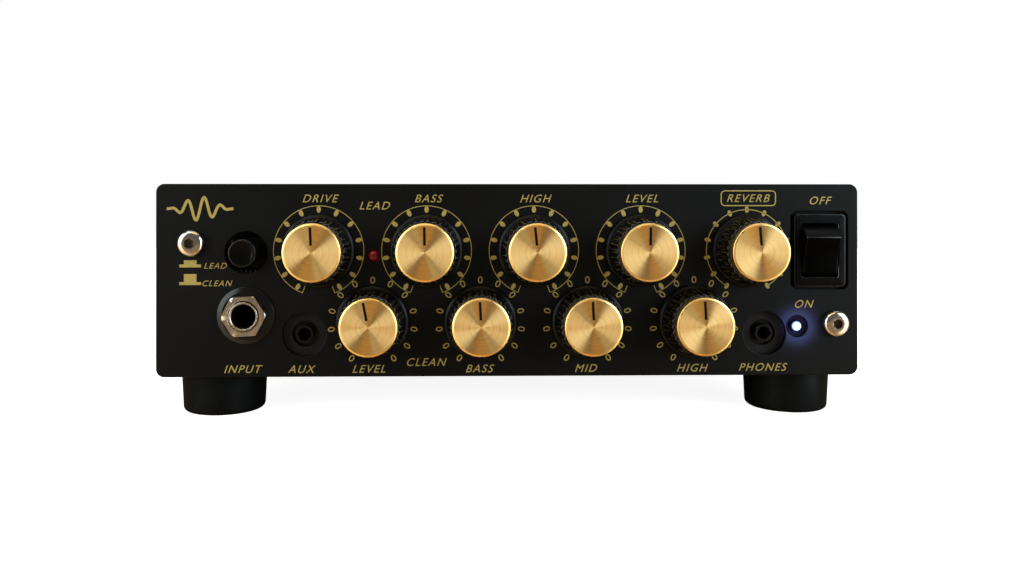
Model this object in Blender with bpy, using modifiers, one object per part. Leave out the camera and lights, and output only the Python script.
"""A compact guitar amplifier head: a folded steel case behind an aluminium control panel, nine rotary
controls with gold-capped knobs, a latching channel button, a rocker power switch and rear connectors.

The frame is +Z up and -Y forward, with the origin under the middle of the whole object, on the surface
that the feet stand on. Sizes are in metres. Run it with: blender --background --python part.py
"""

import math

import bmesh
import bpy
from mathutils import Matrix, Vector

MM = 0.001

# Driving dimensions
PANEL_WIDTH = 203 * MM
PANEL_HEIGHT = 55.5 * MM
PANEL_THICKNESS = 2 * MM
PANEL_CORNER = 2 * MM
CASE_DEPTH = 138 * MM
SHEET = 1.2 * MM
GAP = 0.3 * MM
FOOT_HEIGHT = 12 * MM
KNOB_HEIGHT = 12.8 * MM
REAR_WALL_INSET = 1.5 * MM
JACK_REACH = 3.5 * MM

# Levels along Y, from the front face of the control panel
REAR_REACH = JACK_REACH - REAR_WALL_INSET
FRONT_Y = KNOB_HEIGHT - (KNOB_HEIGHT + CASE_DEPTH + REAR_REACH) / 2
REAR_WALL_Y = FRONT_Y + CASE_DEPTH - REAR_WALL_INSET
WALL_FRONT = PANEL_THICKNESS + GAP
WALL_BACK = WALL_FRONT + SHEET
BODY_FRONT = WALL_BACK + GAP
BOARD_FRONT = 14.1 * MM
BOARD_THICKNESS = 1.6 * MM

# Levels along Z
PANEL_Z = FOOT_HEIGHT + PANEL_HEIGHT / 2
TRAY_BOTTOM = FOOT_HEIGHT + GAP
TRAY_TOP = FOOT_HEIGHT + PANEL_HEIGHT - 2.2 * MM
COVER_TOP = FOOT_HEIGHT + PANEL_HEIGHT - GAP
COVER_WIDTH = PANEL_WIDTH - 2 * GAP
TRAY_WIDTH = COVER_WIDTH - 2 * (SHEET + GAP)

# Controls on the panel, as (x, z) from the panel's centre
KNOB_PITCH = 31 * MM
FIRST_KNOB_X = -55 * MM
UPPER_ROW_Z = 8.5 * MM
LOWER_ROW_Z = -12 * MM
INPUT_AT = (-75.8 * MM, -10 * MM)
BUTTON_AT = (-75.8 * MM, 8 * MM)
AUX_AT = (-59.2 * MM, -15.6 * MM)
PHONES_AT = (74.2 * MM, -15.6 * MM)
CHANNEL_LED_AT = (-39.3 * MM, 7 * MM)
POWER_LED_AT = (83.7 * MM, -13.6 * MM)
ROCKER_AT = (90.2 * MM, 8.5 * MM)
PANEL_SCREWS_AT = ((-91.3 * MM, 10.7 * MM), (94.7 * MM, -12.7 * MM))

# Each control's pointer angle in degrees, clockwise from twelve o'clock
UPPER_KNOBS = {"drive": -2, "lead_bass": -1, "lead_high": -6, "lead_level": 1, "reverb": -5}
LOWER_KNOBS = {"clean_level": -11, "clean_bass": -3, "clean_mid": -3, "clean_high": -3}

# Knob, all radii about its own axis, heights above the panel
GRIP_BASE_RADIUS = 10.5 * MM
GRIP_TOP_RADIUS = 8.6 * MM
GRIP_BOTTOM = 0.6 * MM
GRIP_TOP = 9.6 * MM
CAP_RADIUS = 8.1 * MM
CAP_WALL = 0.6 * MM
CAP_CHAMFER = 0.5 * MM
SHAFT_RADIUS = 2.9 * MM
SHAFT_BORE = 3.15 * MM
BUSHING_RADIUS = 3.6 * MM
BUSHING_HOLE = 3.9 * MM
BUSHING_TOP = 4.5 * MM
NUT_RECESS = 6.6 * MM

# Jack sockets
JACK_BORE = 3.35 * MM
JACK_BUSHING = 4.4 * MM
JACK_HOLE = 4.8 * MM
JACK_BODY = (16 * MM, 18 * MM, 24 * MM)
JACK_NUT_FLATS = 11.2 * MM
JACK_NUT_HEIGHT = 2 * MM
WASHER_RADIUS = 8.2 * MM
WASHER_THICKNESS = 0.7 * MM
MINI_HOLE = 6.3 * MM
MINI_WALL_HOLE = 3.85 * MM
MINI_NOZZLE = 2.65 * MM
MINI_BORE = 1.8 * MM
BUTTON_HOLE = 6.05 * MM
BUTTON_RADIUS = 3.95 * MM
BUTTON_FRONT = 4.7 * MM
LED_RADIUS = 1.5 * MM
LED_HOLE = 1.85 * MM
POWER_LED_HOLE = 3.25 * MM

# Rocker switch
ROCKER_HOLE = (16.9 * MM, 22.8 * MM)
BEZEL = (15 * MM, 21 * MM)
BEZEL_FRONT = 0.5 * MM
ROCKER_WINDOW = (10.8 * MM, 15.6 * MM)
SWITCH_BODY = (12.8 * MM, 19 * MM)
SWITCH_DEPTH = 16 * MM
ROCKER_PIVOT_DEPTH = 3.1 * MM
ROCKER_RADIUS = 7.4 * MM
ROCKER_RIDGE = math.radians(42.5)
ROCKER_TILT = math.radians(16)
ROCKER_WIDTH = 10.2 * MM
ROCKER_PIN = 1 * MM
ROCKER_PIN_REACH = 6.1 * MM

# Rear wall
REAR_JACKS = ("speaker_jack", "effects_send_jack", "effects_return_jack", "footswitch_jack")
REAR_JACKS_X = (-80 * MM, -56 * MM, -32 * MM, -8 * MM)
XLR_X = 22 * MM
INLET_X = 68 * MM
XLR_FLANGE = (26 * MM, 31 * MM)
XLR_SHELL = 9.8 * MM
XLR_CAVITY = 8.2 * MM
XLR_SCREW = (9.5 * MM, 12 * MM)
INLET_FLANGE = (50 * MM, 24 * MM)
INLET_BODY = (27 * MM, 19.4 * MM)
INLET_CAVITY = (24.4 * MM, 16.4 * MM)
INLET_SCREW_X = 20 * MM
INLET_DEPTH = 20 * MM
FLANGE = 2.4 * MM

# Feet
FOOT_X = 85.8 * MM
FOOT_SETBACK = 15 * MM
FOOT_TOP_RADIUS = 12.5 * MM
FOOT_BOTTOM_RADIUS = 11.9 * MM

# Power board
POWER_BOARD = (176 * MM, 70 * MM)
POWER_BOARD_Y = FRONT_Y + 71 * MM
STANDOFF = 6 * MM
POWER_BOARD_BOTTOM = TRAY_BOTTOM + SHEET + STANDOFF + 2 * GAP
DECK = POWER_BOARD_BOTTOM + BOARD_THICKNESS + GAP

FACING_FRONT = (math.pi / 2, 0, 0)
FACING_REAR = (math.pi / 2, 0, math.pi)


# ---------------------------------------------------------------- scene, materials and helpers


def clear_scene():
    for obj in list(bpy.data.objects):
        bpy.data.objects.remove(obj)


def collection(name):
    made = bpy.data.collections.new(name)
    bpy.context.scene.collection.children.link(made)
    return made


def material(name, colour, roughness, metallic=0.0):
    """The named material, made on its first use."""
    found = bpy.data.materials.get(name)
    if found:
        return found
    found = bpy.data.materials.new(name)
    found.use_nodes = True
    shader = found.node_tree.nodes["Principled BSDF"]
    shader.inputs["Base Color"].default_value = (*colour, 1)
    shader.inputs["Roughness"].default_value = roughness
    shader.inputs["Metallic"].default_value = metallic
    return found


def panel_paint():
    return material("black_panel_paint", (0.018, 0.018, 0.02), 0.45)


def case_paint():
    return material("black_case_paint", (0.02, 0.02, 0.021), 0.55)


def black_plastic():
    return material("black_plastic", (0.012, 0.012, 0.013), 0.35)


def gold():
    return material("gold_aluminium", (0.83, 0.6, 0.22), 0.25, 1.0)


def nickel():
    return material("nickel_plate", (0.72, 0.68, 0.6), 0.2, 1.0)


def steel():
    return material("steel", (0.5, 0.5, 0.52), 0.35, 1.0)


def rubber():
    return material("black_rubber", (0.02, 0.02, 0.021), 0.75)


def laminate():
    return material("circuit_board", (0.02, 0.14, 0.06), 0.5)


def can_sleeve():
    return material("can_sleeve", (0.03, 0.03, 0.06), 0.3)


def put(obj, location=(0, 0, 0), rotation=(0, 0, 0)):
    obj.location = location
    obj.rotation_euler = rotation
    return obj


def object_from(name, mesh, paint, where=None):
    obj = bpy.data.objects.new(name, mesh)
    (where or PARTS).objects.link(obj)
    mesh.materials.clear()
    mesh.materials.append(paint)
    return obj


def from_bmesh(name, bm, paint, where=None):
    mesh = bpy.data.meshes.new(name)
    bmesh.ops.recalc_face_normals(bm, faces=bm.faces)
    bm.to_mesh(mesh)
    bm.free()
    return object_from(name, mesh, paint, where)


def baked(obj, name=None):
    """The object as a plain welded mesh with its place in its vertices, and with no modifiers."""
    bpy.context.view_layer.update()
    graph = bpy.context.evaluated_depsgraph_get()
    mesh = bpy.data.meshes.new_from_object(obj.evaluated_get(graph))
    mesh.transform(obj.matrix_world)
    paint = obj.active_material
    bm = bmesh.new()
    bm.from_mesh(mesh)
    bmesh.ops.remove_doubles(bm, verts=bm.verts, dist=0.001 * MM)
    bm.to_mesh(mesh)
    bm.free()
    name = name or obj.name
    bpy.data.objects.remove(obj)
    return object_from(name, mesh, paint)


def combine(target, other, operation):
    """Target after a Boolean with other, which is removed."""
    bpy.context.view_layer.update()
    modifier = target.modifiers.new(operation.lower(), "BOOLEAN")
    modifier.operation = operation
    modifier.object = other
    made = baked(target)
    bpy.data.objects.remove(other)
    return made


def cut(target, cutter):
    return combine(target, cutter, "DIFFERENCE")


def join(target, other):
    return combine(target, other, "UNION")


def shade_round(obj):
    obj.data.shade_smooth()
    obj.data.set_sharp_from_angle(angle=math.radians(35))
    return obj


def copy_of(obj, name, location, rotation=(0, 0, 0)):
    """Another object on the same mesh."""
    made = bpy.data.objects.new(name, obj.data)
    PARTS.objects.link(made)
    return put(made, location, rotation)


def circle(radius, segments, centre=(0, 0), start=0.0):
    """A regular polygon's corners. Each is turned by its place, so that the corners of holes in a row
    don't line up, which leaves slivers in a Boolean."""
    start += (centre[0] + centre[1]) / radius
    angles = [start + 2 * math.pi * k / segments for k in range(segments)]
    return [(centre[0] + radius * math.cos(a), centre[1] + radius * math.sin(a)) for a in angles]


def hexagon(across_flats, turn=0.0):
    return circle(across_flats / math.sqrt(3), 6, start=turn)


def rectangle(size, centre=(0, 0), corner=0.0, arc_steps=3):
    """A rectangle's outline, with its corners rounded to the given radius."""
    half_x, half_y = size[0] / 2, size[1] / 2
    if not corner:
        signs = ((1, 1), (-1, 1), (-1, -1), (1, -1))
        return [(centre[0] + sx * half_x, centre[1] + sy * half_y) for sx, sy in signs]
    points = []
    for quarter, (sx, sy) in enumerate(((1, 1), (-1, 1), (-1, -1), (1, -1))):
        for step in range(arc_steps + 1):
            angle = math.pi / 2 * (quarter + step / arc_steps)
            points.append(
                (
                    centre[0] + sx * (half_x - corner) + corner * math.cos(angle),
                    centre[1] + sy * (half_y - corner) + corner * math.sin(angle),
                )
            )
    return points


def plate(name, outline, thickness, paint, holes=(), level=0.0):
    """A flat sheet in the local XY plane, from level to level + thickness, with holes through it."""
    data = bpy.data.curves.new(name, "CURVE")
    data.dimensions = "2D"
    data.fill_mode = "BOTH"
    data.extrude = thickness / 2
    for points in (outline, *holes):
        spline = data.splines.new("POLY")
        spline.points.add(len(points) - 1)
        for point, (x, y) in zip(spline.points, points):
            point.co = (x, y, 0, 1)
        spline.use_cyclic_u = True
    curve = bpy.data.objects.new(name, data)
    PARTS.objects.link(curve)
    data.materials.append(paint)
    put(curve, (0, 0, level + thickness / 2))
    return baked(curve)


def turned(name, profile, segments, paint):
    """A profile of (radius, height) points turned about local Z. It runs down the outer side. One that
    starts and ends on the axis is a solid, and any other is closed into a ring."""
    mesh = bpy.data.meshes.new(name)
    edges = [(k, k + 1) for k in range(len(profile) - 1)]
    if profile[0][0] or profile[-1][0]:
        edges.append((len(profile) - 1, 0))
    mesh.from_pydata([(r, 0, z) for r, z in profile], edges, [])
    obj = object_from(name, mesh, paint)
    screw = obj.modifiers.new("turn", "SCREW")
    screw.steps = segments
    screw.render_steps = segments
    screw.use_merge_vertices = True
    screw.merge_threshold = 0.01 * MM
    return baked(obj)


def block(name, size, centre, paint):
    bm = bmesh.new()
    bmesh.ops.create_cube(bm, size=1)
    bmesh.ops.scale(bm, vec=Vector(size), verts=bm.verts)
    bmesh.ops.translate(bm, vec=Vector(centre), verts=bm.verts)
    return from_bmesh(name, bm, paint)


def rod(name, radius, low, high, segments, paint, centre=(0, 0), top_radius=None):
    """A cylinder or cone along local Z from height low to height high."""
    bm = bmesh.new()
    middle = Matrix.Translation((centre[0], centre[1], (low + high) / 2))
    bmesh.ops.create_cone(
        bm,
        cap_ends=True,
        segments=segments,
        radius1=radius,
        radius2=radius if top_radius is None else top_radius,
        depth=high - low,
        matrix=middle,
    )
    return from_bmesh(name, bm, paint)


def tube(name, routes, radius, paint):
    """Round wires, one along each route of hand-placed points, rounded by a smooth curve through them."""
    data = bpy.data.curves.new(name, "CURVE")
    data.dimensions = "3D"
    data.bevel_depth = radius
    data.bevel_resolution = 2
    data.use_fill_caps = True
    data.materials.append(paint)
    for route in routes:
        points = smooth_route(route, 5.5 * radius)
        spline = data.splines.new("POLY")
        spline.points.add(len(points) - 1)
        for point, place in zip(spline.points, points):
            point.co = (*place, 1)
    curve = bpy.data.objects.new(name, data)
    PARTS.objects.link(curve)
    return baked(curve)


def smooth_route(route, step):
    """Points about a step apart on the Catmull-Rom curve through the route's own points."""
    knots = [Vector(p) for p in route]
    knots = [2 * knots[0] - knots[1], *knots, 2 * knots[-1] - knots[-2]]
    made = []
    for a, b, c, d in zip(knots, knots[1:], knots[2:], knots[3:]):
        count = max(1, round((c - b).length / step))
        for k in range(count):
            t = k / count
            made.append(
                0.5
                * (
                    2 * b
                    + (c - a) * t
                    + (2 * a - 5 * b + 4 * c - d) * t**2
                    + (3 * b - a - 3 * c + d) * t**3
                )
            )
    return [*made, knots[-2]]


def on_panel(at, depth=0.0):
    """World place of a control, with depth measured back from the panel's front face."""
    return (at[0], FRONT_Y + depth, PANEL_Z + at[1])


def on_rear(x, z=0.0):
    return (x, REAR_WALL_Y, PANEL_Z + z)


def knob_places():
    """Name, (x, z) on the panel and pointer angle of each rotary control."""
    for k, (name, angle) in enumerate(UPPER_KNOBS.items()):
        yield name, (FIRST_KNOB_X + KNOB_PITCH * k, UPPER_ROW_Z), angle
    for k, (name, angle) in enumerate(LOWER_KNOBS.items()):
        yield name, (FIRST_KNOB_X + KNOB_PITCH * (k + 0.5), LOWER_ROW_Z), angle


# ---------------------------------------------------------------- case


def foot_places():
    """Name and (x, y) of each foot."""
    for side, x in (("left", -FOOT_X), ("right", FOOT_X)):
        yield "front_" + side, x, FRONT_Y + FOOT_SETBACK
        yield "rear_" + side, x, FRONT_Y + CASE_DEPTH - FOOT_SETBACK


def control_panel():
    """The aluminium face plate, with clear holes for every control."""
    holes = [circle(BUSHING_HOLE, 12, at) for _, at, _ in knob_places()]
    holes += [circle(MINI_HOLE, 24, at) for at in (AUX_AT, PHONES_AT)]
    holes += [circle(BUTTON_HOLE, 24, BUTTON_AT), circle(JACK_HOLE, 20, INPUT_AT)]
    holes += [circle(LED_HOLE, 12, CHANNEL_LED_AT), circle(POWER_LED_HOLE, 16, POWER_LED_AT)]
    holes += [circle(2.3 * MM, 12, at) for at in PANEL_SCREWS_AT]
    holes.append(rectangle(ROCKER_HOLE, ROCKER_AT, PANEL_CORNER))
    outline = rectangle((PANEL_WIDTH, PANEL_HEIGHT), corner=PANEL_CORNER)
    face = plate("front_panel", outline, PANEL_THICKNESS, panel_paint(), holes, -PANEL_THICKNESS)
    put(face, on_panel((0, 0)), FACING_FRONT)


def tray_front_wall():
    holes = [circle(BUSHING_HOLE, 12, at) for _, at, _ in knob_places()]
    holes += [circle(MINI_WALL_HOLE, 16, at) for at in (AUX_AT, PHONES_AT)]
    holes += [circle(BUTTON_HOLE, 20, BUTTON_AT), circle(JACK_HOLE, 20, INPUT_AT)]
    holes += [circle(LED_HOLE, 12, at) for at in (CHANNEL_LED_AT, POWER_LED_AT)]
    holes += [circle(2.3 * MM, 12, at) for at in PANEL_SCREWS_AT]
    clear = 0.8 * MM
    holes.append(rectangle((SWITCH_BODY[0] + clear, SWITCH_BODY[1] + clear), ROCKER_AT))
    wall = plate("wall", tray_wall_outline(), SHEET, case_paint(), holes, -WALL_BACK)
    return baked(put(wall, on_panel((0, 0)), FACING_FRONT))


def tray_wall_outline():
    """An end wall's outline, in the panel's own plane. The bends leave its lower edge half a sheet up."""
    low, high = TRAY_BOTTOM + SHEET / 2 - PANEL_Z, TRAY_TOP - PANEL_Z
    return rectangle((TRAY_WIDTH - 2 * GAP, high - low), (0, (low + high) / 2))


def tray_rear_wall():
    """The connectors' wall. The outline is drawn as seen from behind, so x is turned round."""
    holes = [circle(JACK_HOLE, 16, (-x, 0)) for x in REAR_JACKS_X]
    clear = 0.8 * MM
    holes.append(rectangle((INLET_BODY[0] + clear, INLET_BODY[1] + clear), (-INLET_X, 0)))
    holes.append(circle(10.4 * MM, 20, (-XLR_X, 0)))
    wall = plate("wall", tray_wall_outline(), SHEET, case_paint(), holes, -SHEET)
    return baked(put(wall, on_rear(0), FACING_REAR))


def tray_floor():
    middle_y = (FRONT_Y + WALL_FRONT + REAR_WALL_Y) / 2
    depth = REAR_WALL_Y - FRONT_Y - WALL_FRONT - SHEET
    holes = [circle(2.3 * MM, 12, (x, y - middle_y)) for _, x, y in foot_places()]
    floor = plate("floor", rectangle((TRAY_WIDTH, depth)), SHEET, case_paint(), holes)
    return baked(put(floor, (0, middle_y, TRAY_BOTTOM)))


def chassis_tray():
    """Floor, front wall and rear wall folded from one sheet, with a flange up each side for the cover and
    the posts, pressed into the floor, that the power board stands on."""
    tray = join(tray_floor(), tray_front_wall())
    tray = join(tray, tray_rear_wall())
    flange_height = 10 * MM
    flange_length = 118 * MM
    overlap = SHEET / 2
    for side in (-1, 1):
        size = (SHEET, flange_length, flange_height)
        centre = (
            side * ((TRAY_WIDTH - SHEET) / 2 - GAP),
            (FRONT_Y + REAR_WALL_Y + WALL_FRONT) / 2,
            TRAY_BOTTOM + overlap + flange_height / 2,
        )
        tray = join(tray, block("flange", size, centre, case_paint()))
    for x, y in standoff_places():
        low, high = TRAY_BOTTOM + SHEET / 2, TRAY_BOTTOM + SHEET + STANDOFF
        post = plate("post", hexagon(6 * MM), high - low, case_paint(), level=low)
        tray = join(tray, baked(put(post, (x, POWER_BOARD_Y + y, 0))))
    tray.name = "chassis_tray"


COVER_SCREW_YS = tuple(FRONT_Y + y * MM for y in (24, 70, 116))
COVER_SCREW_Z = TRAY_BOTTOM + 6.5 * MM


def top_cover():
    """A folded channel over the top and both sides, with cooling slots."""
    front = FRONT_Y + PANEL_THICKNESS + GAP
    depth = FRONT_Y + CASE_DEPTH - front
    middle = front + depth / 2
    slots = [
        rectangle((3 * MM, 34 * MM), (x * 7 * MM, 22 * MM)) for x in range(-6, 7)
    ]
    top = plate("top_cover", rectangle((COVER_WIDTH, depth)), SHEET, case_paint(), slots)
    top = baked(put(top, (0, middle, COVER_TOP - SHEET)))
    side_height = COVER_TOP - TRAY_BOTTOM
    for side in (-1, 1):
        holes = [
            rectangle((3 * MM, 22 * MM), (y * 7 * MM + 12 * MM, 5 * MM)) for y in range(-4, 5)
        ]
        holes += [
            circle(1.8 * MM, 8, (y - middle, COVER_SCREW_Z - TRAY_BOTTOM - side_height / 2))
            for y in COVER_SCREW_YS
        ]
        wall = plate("side", rectangle((depth, side_height)), SHEET, case_paint(), holes)
        x = side * COVER_WIDTH / 2 - (SHEET if side > 0 else 0)
        place = (x, middle, TRAY_BOTTOM + side_height / 2)
        top = join(top, baked(put(wall, place, (math.pi / 2, 0, math.pi / 2))))
    top.name = "top_cover"


def foot_profile():
    fillet = 1.5 * MM
    recess, shank = 5 * MM, 2.4 * MM
    seat = 3.5 * MM
    edge = [
        (
            FOOT_BOTTOM_RADIUS - fillet * (1 - math.cos(angle)),
            fillet * (1 - math.sin(angle)),
        )
        for angle in (0, math.pi / 4, math.pi / 2)
    ]
    return [
        (FOOT_TOP_RADIUS, FOOT_HEIGHT),
        *edge,
        (recess, 0),
        (recess, seat),
        (shank, seat),
        (shank, FOOT_HEIGHT),
    ]


def feet():
    master = turned("foot", foot_profile(), 20, rubber())
    shade_round(master)
    for name, x, y in foot_places():
        copy_of(master, "foot_" + name, (x, y, 0))
    bpy.data.objects.remove(master)


def panel_screws():
    """Two button-head screws through the panel into the wall behind it."""
    head, height, shank, length, socket = 3.8 * MM, 2.2 * MM, 2 * MM, 8 * MM, 1.6 * MM
    floor = 0.35 * height
    profile = [
        (0, floor),
        (socket, floor),
        (socket, 0.95 * height),
        (0.72 * head, 0.8 * height),
        (head, 0.2 * height),
        (head, 0),
        (shank, 0),
        (shank, -length),
        (0, -length),
    ]
    master = shade_round(turned("screw", profile, 16, nickel()))
    for side, at in zip(("left", "right"), PANEL_SCREWS_AT):
        copy_of(master, "panel_screw_" + side, on_panel(at, -GAP), FACING_FRONT)
    bpy.data.objects.remove(master)


# ---------------------------------------------------------------- rotary controls


def knob_grip():
    """The knob's black body: a cone with a spigot for the cap, a recess over the fixing nut and a blind
    bore for the shaft."""
    grip = rod(
        "grip", GRIP_BASE_RADIUS, GRIP_BOTTOM, GRIP_TOP, 24, black_plastic(),
        top_radius=GRIP_TOP_RADIUS,
    )
    spigot = CAP_RADIUS - CAP_WALL - GAP
    overlap = 1 * MM
    spigot_top = KNOB_HEIGHT - CAP_WALL - GAP
    grip = join(grip, rod("spigot", spigot, GRIP_TOP - overlap, spigot_top, 16, black_plastic()))
    recess_top = BUSHING_TOP + GAP
    grip = cut(grip, rod("recess", NUT_RECESS, 0, recess_top, 12, black_plastic()))
    return cut(grip, rod("bore", SHAFT_BORE, recess_top - overlap, 10.6 * MM, 10, black_plastic()))


def cap_profile():
    skirt = GRIP_TOP + GAP
    inner = CAP_RADIUS - CAP_WALL
    return [
        (0, KNOB_HEIGHT),
        (CAP_RADIUS - CAP_CHAMFER, KNOB_HEIGHT),
        (CAP_RADIUS, KNOB_HEIGHT - CAP_CHAMFER),
        (CAP_RADIUS, skirt),
        (inner, skirt),
        (inner, KNOB_HEIGHT - CAP_WALL),
        (0, KNOB_HEIGHT - CAP_WALL),
    ]


SHAFT_END = -9 * MM
SHAFT_TOP = 10.3 * MM


def rotary_controls():
    """Each control's grip, cap and shaft, under an empty on the axis that they turn about."""
    grip = knob_grip()
    cap = turned("cap", cap_profile(), 20, gold())
    shaft = rod("shaft", SHAFT_RADIUS, SHAFT_END, SHAFT_TOP, 10, steel())
    masters = {"grip_": grip, "cap_": cap, "shaft_": shaft}
    for name, at, angle in knob_places():
        axis = bpy.data.objects.new("axis_" + name, None)
        PARTS.objects.link(axis)
        put(axis, on_panel(at), FACING_FRONT)
        for label, part in masters.items():
            piece = copy_of(part, label + name, (0, 0, 0), (0, 0, -math.radians(angle)))
            piece.parent = axis
    for part in masters.values():
        shade_round(part)
        bpy.data.objects.remove(part)


# ---------------------------------------------------------------- switches and lamps


def channel_switch():
    """The latching push switch: its body on the control board, and the button that slides in it."""
    back = BOARD_FRONT - GAP
    front = 5 * MM
    side = 8.6 * MM
    bore, stem = 1.9 * MM, 1.5 * MM
    body = block(
        "push_switch", (side, side, back - front), (0, 0, -(front + back) / 2), black_plastic()
    )
    body = cut(body, rod("bore", bore, -12 * MM, 0, 12, black_plastic()))
    put(body, on_panel(BUTTON_AT), FACING_FRONT)
    edge = 0.5 * MM
    dish = 0.4 * MM
    back_face = -0.5 * MM
    profile = [
        (0, BUTTON_FRONT - dish),
        (BUTTON_RADIUS - edge, BUTTON_FRONT),
        (BUTTON_RADIUS, BUTTON_FRONT - edge),
        (BUTTON_RADIUS, back_face),
        (stem, back_face),
        (stem, -8 * MM),
        (0, -8 * MM),
    ]
    button = turned("channel_button", profile, 24, black_plastic())
    shade_round(put(button, on_panel(BUTTON_AT), FACING_FRONT))


def lamp(name, at, tip, paint):
    """A 3 mm lamp: a domed lens with a flange behind the wall."""
    dome = [
        (LED_RADIUS * math.sin(a), tip - LED_RADIUS * (1 - math.cos(a)))
        for a in (0, math.pi / 6, math.pi / 3, math.pi / 2)
    ]
    flange, base = 1.95 * MM, BODY_FRONT + 1 * MM
    profile = [*dome, (LED_RADIUS, -BODY_FRONT), (flange, -BODY_FRONT), (flange, -base), (0, -base)]
    shade_round(put(turned(name, profile, 12, paint), on_panel(at), FACING_FRONT))


def switch_housing():
    """The power switch's frame and body. The window is open so that the rocker can tilt in it."""
    bezel = plate(
        "rocker_housing",
        rectangle(BEZEL, corner=1.2 * MM),
        BEZEL_FRONT + WALL_FRONT - GAP,
        black_plastic(),
        [rectangle(ROCKER_WINDOW)],
        level=GAP - WALL_FRONT,
    )
    overlap = 0.6 * MM
    depth = SWITCH_DEPTH - WALL_FRONT + overlap
    sleeve = plate(
        "sleeve", rectangle(SWITCH_BODY), depth, black_plastic(),
        [rectangle(ROCKER_WINDOW)], level=-SWITCH_DEPTH,
    )
    housing = join(bezel, sleeve)
    wall = 1.5 * MM
    back = block(
        "back", (SWITCH_BODY[0], SWITCH_BODY[1], wall), (0, 0, -SWITCH_DEPTH), black_plastic()
    )
    housing = join(housing, back)
    for z in (-6 * MM, 0, 6 * MM):
        centre = (0, z, -SWITCH_DEPTH - 4 * MM)
        housing = join(housing, block("tab", (4.8 * MM, 0.8 * MM, 9 * MM), centre, black_plastic()))
    pivot_z = BEZEL_FRONT - ROCKER_PIVOT_DEPTH
    reach = ROCKER_PIN_REACH + GAP
    bearing = rod("bearing", ROCKER_PIN + GAP, -reach, reach, 12, black_plastic())
    bearing.data.transform(Matrix.Rotation(math.pi / 2, 4, "Y"))
    housing = cut(housing, put(bearing, (0, 0, pivot_z)))
    housing.name = "rocker_housing"
    put(housing, on_panel(ROCKER_AT), FACING_FRONT)


def rocker():
    """The rocker, drawn level about its pivot and then tilted to its on position. Both ends are arcs
    about the pivot, and the two pressing faces meet in a shallow valley."""
    steps = 5
    low = math.radians(-20)
    ends = [low + (ROCKER_RIDGE - low) * k / steps for k in range(steps + 1)]
    upper = [(ROCKER_RADIUS * math.sin(a), ROCKER_RADIUS * math.cos(a)) for a in ends]
    valley = ROCKER_RADIUS * math.sin(ROCKER_RIDGE) - 0.5 * MM
    lower = [(x, -y) for x, y in reversed(upper)]
    outline = [*upper, (valley, 0), *lower]
    piece = plate("power_rocker", outline, ROCKER_WIDTH, black_plastic(), level=-ROCKER_WIDTH / 2)
    pin = rod("pin", ROCKER_PIN, -ROCKER_PIN_REACH, ROCKER_PIN_REACH, 12, black_plastic())
    piece = join(piece, pin)
    upright = Matrix(((0, 0, -1), (-1, 0, 0), (0, 1, 0))).to_4x4()
    piece.data.transform(upright)
    depth = ROCKER_PIVOT_DEPTH - BEZEL_FRONT
    put(piece, on_panel(ROCKER_AT, depth), (ROCKER_TILT, 0, 0))


# ---------------------------------------------------------------- sockets


def jack_socket():
    """A quarter-inch socket: a closed box with a threaded bushing, bored for the plug."""
    width, height, depth = JACK_BODY
    top = -SHEET - GAP
    body = block("jack", (width, height, depth), (0, 0, top - depth / 2), black_plastic())
    overlap = 1 * MM
    body = join(body, rod("bushing", JACK_BUSHING, top - overlap, JACK_REACH, 20, nickel()))
    floor = top - depth + 1.5 * MM
    return cut(body, rod("bore", JACK_BORE, floor, JACK_REACH + overlap, 16, nickel()))


def input_socket():
    """The instrument input, whose bushing passes through both the wall and the panel."""
    jack = jack_socket()
    bushing = rod(
        "bushing", JACK_BUSHING, -1 * MM, WALL_FRONT + JACK_REACH, 20, nickel()
    )
    jack = join(jack, bushing)
    bore = rod("bore", JACK_BORE, -10 * MM, WALL_FRONT + JACK_REACH + 1 * MM, 16, nickel())
    jack = cut(jack, bore)
    jack.name = "input_jack"
    put(jack, on_panel(INPUT_AT, WALL_FRONT), FACING_FRONT)
    washer = plate(
        "input_jack_washer", circle(WASHER_RADIUS, 32), WASHER_THICKNESS, steel(),
        [circle(JACK_HOLE, 16)], level=GAP,
    )
    put(washer, on_panel(INPUT_AT), FACING_FRONT)
    nut = plate(
        "input_jack_nut", hexagon(JACK_NUT_FLATS, math.radians(3)), JACK_NUT_HEIGHT, nickel(),
        [circle(JACK_HOLE, 16)], level=2 * GAP + WASHER_THICKNESS,
    )
    put(nut, on_panel(INPUT_AT), FACING_FRONT)


def mini_sockets():
    """The two 3.5 mm sockets, whose nozzles stand in the wall's holes."""
    depth = BOARD_FRONT - GAP - BODY_FRONT
    size = (9 * MM, 11 * MM, depth)
    body = block("mini", size, (0, 0, -BODY_FRONT - depth / 2), black_plastic())
    nozzle_end = -0.6 * MM
    body = join(body, rod("nozzle", MINI_NOZZLE, -BODY_FRONT - 1 * MM, nozzle_end, 16, black_plastic()))
    body = cut(body, rod("bore", MINI_BORE, -13 * MM, 1 * MM, 14, black_plastic()))
    shade_round(body)
    copy_of(body, "aux_jack", on_panel(AUX_AT), FACING_FRONT)
    copy_of(body, "phones_jack", on_panel(PHONES_AT), FACING_FRONT)
    bpy.data.objects.remove(body)


def rear_sockets():
    """Four sockets along the rear wall, each joined to the nut on its bushing."""
    bare = jack_socket()
    nut = plate("nut", hexagon(JACK_NUT_FLATS), JACK_NUT_HEIGHT, nickel(), level=GAP)
    jack = join(bare, nut)
    bore = rod("bore", JACK_BORE, -10 * MM, JACK_REACH + 1 * MM, 16, nickel())
    jack = shade_round(cut(jack, bore))
    for name, x in zip(REAR_JACKS, REAR_JACKS_X):
        copy_of(jack, name, on_rear(x), FACING_REAR)
    bpy.data.objects.remove(jack)


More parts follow.
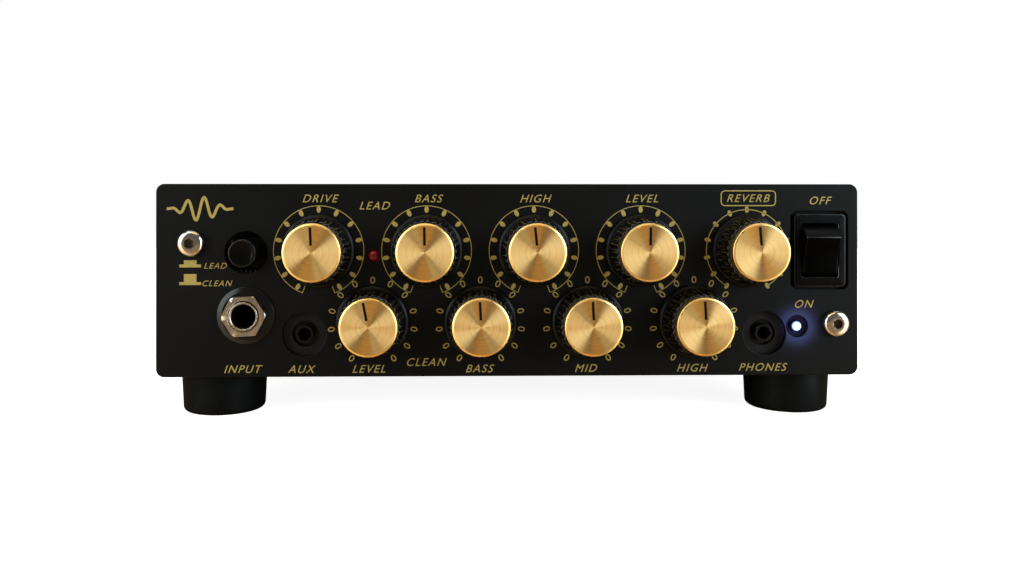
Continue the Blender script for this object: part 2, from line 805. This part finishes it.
def inlet_outline(size, corner):
    """The mains inlet's section: a rectangle with its two upper corners cut off."""
    half_x, half_y = size[0] / 2, size[1] / 2
    return [
        (half_x, half_y - corner),
        (half_x - corner, half_y),
        (corner - half_x, half_y),
        (-half_x, half_y - corner),
        (-half_x, -half_y),
        (half_x, -half_y),
    ]


# Blade places in the inlet's own plane, and pin places in the line socket's
INLET_BLADES = ((-7 * MM, -2 * MM), (7 * MM, -2 * MM), (0, 2.2 * MM))
BLADE = (2 * MM, 4 * MM)
XLR_PIN_CIRCLE = 4.9 * MM
XLR_PIN_RADIUS = 1.2 * MM
XLR_PINS = tuple(
    (XLR_PIN_CIRCLE * math.cos(a), XLR_PIN_CIRCLE * math.sin(a))
    for a in (math.radians(d) for d in (30, 150, 270))
)


def mains_inlet():
    """A three-blade inlet. The blades are moulded into its back."""
    cavity = inlet_outline(INLET_CAVITY, 4.2 * MM)
    holes = [cavity] + [
        circle(1.8 * MM, 8, (side * INLET_SCREW_X, 0)) for side in (-1, 1)
    ]
    inlet = plate(
        "mains_inlet", rectangle(INLET_FLANGE, corner=3 * MM), FLANGE, black_plastic(),
        holes, level=GAP,
    )
    overlap = 1 * MM
    body = plate(
        "body", rectangle(INLET_BODY), INLET_DEPTH + GAP + overlap, black_plastic(),
        [cavity], level=-INLET_DEPTH,
    )
    inlet = join(inlet, body)
    back = plate(
        "back", rectangle(INLET_BODY), 2 * MM, black_plastic(), level=-INLET_DEPTH - 1 * MM
    )
    inlet = join(inlet, back)
    for x, y in INLET_BLADES:
        inlet = join(inlet, block("blade", (*BLADE, 22 * MM), (x, y, -16 * MM), nickel()))
    inlet.name = "mains_inlet"
    put(inlet, on_rear(INLET_X), FACING_REAR)


def line_socket():
    """A three-pin balanced output: a round shell with a flange. The pins are moulded into its back."""
    holes = [circle(XLR_CAVITY, 20)] + [
        circle(1.8 * MM, 8, (sx * XLR_SCREW[0], sx * XLR_SCREW[1])) for sx in (-1, 1)
    ]
    socket = plate(
        "line_out_socket", rectangle(XLR_FLANGE, corner=2 * MM), FLANGE, black_plastic(),
        holes, level=GAP,
    )
    shell_depth = 15 * MM
    shell = plate(
        "shell", circle(XLR_SHELL, 20), shell_depth + 1 * MM, black_plastic(),
        [circle(XLR_CAVITY, 20)], level=-shell_depth,
    )
    socket = join(socket, shell)
    back = plate("back", circle(XLR_SHELL, 20), 2 * MM, black_plastic(), level=-shell_depth - MM)
    socket = join(socket, back)
    for at in XLR_PINS:
        pin = rod("pin", XLR_PIN_RADIUS, -19 * MM, -4 * MM, 10, nickel(), at)
        socket = join(socket, pin)
    socket.name = "line_out_socket"
    put(socket, on_rear(XLR_X), FACING_REAR)


# ---------------------------------------------------------------- electronics


def potentiometer():
    """A square housing with the threaded bushing that the shaft turns in, and the bushing's nut."""
    side, overlap = 11 * MM, 1 * MM
    depth = BOARD_FRONT + overlap - BODY_FRONT
    body = block("body", (side, side, depth), (0, 0, -BODY_FRONT - depth / 2), black_plastic())
    bushing = rod("bushing", BUSHING_RADIUS, -BODY_FRONT - overlap, BUSHING_TOP, 10, nickel())
    body = join(body, bushing)
    body = join(body, plate("nut", hexagon(10 * MM), 2 * MM, nickel(), level=GAP))
    bore = rod("bore", SHAFT_BORE, SHAFT_END - GAP, BUSHING_TOP + overlap, 10, nickel())
    return cut(body, bore)


def control_board():
    """The upright board, notched round the input socket and the power switch, with the potentiometers
    that are soldered to it."""
    half = 24 * MM
    left, right = -83 * MM, 87 * MM
    notch_in_x, notch_in_y = -66 * MM, 2 * MM
    notch_out_x, notch_out_y = 82 * MM, -2.5 * MM
    outline = [
        (notch_in_x, -half),
        (right, -half),
        (right, notch_out_y),
        (notch_out_x, notch_out_y),
        (notch_out_x, half),
        (left, half),
        (left, notch_in_y),
        (notch_in_x, notch_in_y),
    ]
    level = -BOARD_FRONT - BOARD_THICKNESS
    board = plate("control_board", outline, BOARD_THICKNESS, laminate(), level=level)
    housing = potentiometer()
    for name, at, _ in knob_places():
        board = join(board, copy_of(housing, "potentiometer_" + name, (*at, 0)))
    bpy.data.objects.remove(housing)
    board.name = "control_board"
    shade_round(put(board, on_panel((0, 0)), FACING_FRONT))


def standoff_places():
    inset = 5 * MM
    half_x, half_y = POWER_BOARD[0] / 2 - inset, POWER_BOARD[1] / 2 - inset
    return [(sx * half_x, sy * half_y) for sx in (-1, 1) for sy in (-1, 1)]


def power_board():
    """The supply and power stage's board, with the three smaller capacitors that are soldered to it."""
    holes = [circle(1.7 * MM, 10, at) for at in standoff_places()]
    board = plate("power_board", rectangle(POWER_BOARD), BOARD_THICKNESS, laminate(), holes)
    for x, y in ((-8 * MM, 20 * MM), (10 * MM, 20 * MM), (10 * MM, -20 * MM)):
        can = rod("can", 6 * MM, BOARD_THICKNESS / 2, 22 * MM, 16, can_sleeve(), (x, y))
        board = join(board, can)
    board.name = "power_board"
    shade_round(put(board, (0, POWER_BOARD_Y, POWER_BOARD_BOTTOM)))


def transformer():
    """A ferrite frame with its winding through the window."""
    width, height, depth = 34 * MM, 28 * MM, 12 * MM
    windows = [rectangle((8 * MM, 18 * MM), (side * 9 * MM, 0)) for side in (-1, 1)]
    core = plate(
        "transformer", rectangle((width, height)), depth,
        material("ferrite", (0.05, 0.05, 0.055), 0.5), windows, level=-depth / 2,
    )
    coil = block(
        "coil", (22 * MM, 17 * MM, 24 * MM), (0, 0, 0), material("tape", (0.6, 0.45, 0.05), 0.5)
    )
    core = join(core, coil)
    core.name = "transformer"
    put(core, (50 * MM, POWER_BOARD_Y - 14 * MM, DECK + height / 2), FACING_FRONT)


def reservoir_capacitor():
    can = rod("reservoir_capacitor", 9 * MM, 0, 30 * MM, 20, can_sleeve())
    shade_round(put(can, (68 * MM, POWER_BOARD_Y + 16 * MM, DECK)))


def heat_sink():
    """A comb of fins on a base plate, standing along the board."""
    fins, pitch, fin = 9, 6 * MM, 2 * MM
    base, reach = 4 * MM, 24 * MM
    outline = [(0, 0), (fins * pitch - pitch + fin, 0)]
    for k in reversed(range(fins)):
        left = k * pitch
        outline += [(left + fin, reach), (left, reach)]
        if k:
            outline += [(left, base), (left - pitch + fin, base)]
    sink = plate(
        "heat_sink", outline, 30 * MM, material("sink_aluminium", (0.6, 0.6, 0.62), 0.4, 1.0)
    )
    put(sink, (-72 * MM, POWER_BOARD_Y - 12 * MM, DECK))


def mains_cable():
    """The twin cable from the inlet's blades to the power switch, along the right side."""
    lane, low = 93 * MM, TRAY_BOTTOM + 9 * MM
    start = Vector(on_panel(ROCKER_AT, SWITCH_DEPTH + 10.5 * MM))
    end = Vector(on_rear(INLET_X)) + Vector((7 * MM, -29.5 * MM, -2 * MM))
    route = [
        start,
        start + Vector((0, 7 * MM, -2 * MM)),
        (lane, FRONT_Y + 50 * MM, low),
        (lane, FRONT_Y + 85 * MM, low),
        end + Vector((5 * MM, -9 * MM, -4 * MM)),
        end,
    ]
    tube("mains_cable", [route], 1.8 * MM, material("cable_sleeve", (0.03, 0.03, 0.03), 0.4))


def ribbon_cable():
    width, thickness, steps = 20 * MM, 0.9 * MM, 10
    start_y = FRONT_Y + BOARD_FRONT + BOARD_THICKNESS + GAP + thickness
    end_y, end_z = POWER_BOARD_Y - 30 * MM, DECK + thickness
    start_z = PANEL_Z - 4 * MM
    bm = bmesh.new()
    rails = []
    for x in (-62 * MM, -62 * MM + width):
        rail = []
        for k in range(steps + 1):
            t = k / steps
            y = start_y + (end_y - start_y) * t**1.6
            z = start_z + (end_z - start_z) * (1 - (1 - t) ** 2.2)
            rail.append(bm.verts.new((x, y, z)))
        rails.append(rail)
    for k in range(steps):
        bm.faces.new((rails[0][k], rails[1][k], rails[1][k + 1], rails[0][k + 1]))
    cable = from_bmesh("ribbon_cable", bm, material("ribbon_grey", (0.4, 0.4, 0.42), 0.6))
    shell = cable.modifiers.new("thickness", "SOLIDIFY")
    shell.thickness = thickness
    shell.offset = 0


# ---------------------------------------------------------------- the whole object


clear_scene()
PARTS = collection("guitar_amp_head")
control_panel()
chassis_tray()
top_cover()
feet()
panel_screws()
rotary_controls()
channel_switch()
lamp("channel_led", CHANNEL_LED_AT, 0.8 * MM, material("red_lens", (0.4, 0.01, 0.02), 0.2))
lamp("power_led", POWER_LED_AT, 0.2 * MM, material("blue_lens", (0.2, 0.5, 1.0), 0.2))
switch_housing()
rocker()
input_socket()
mini_sockets()
rear_sockets()
mains_inlet()
line_socket()
control_board()
power_board()
transformer()
reservoir_capacitor()
heat_sink()
mains_cable()
ribbon_cable()
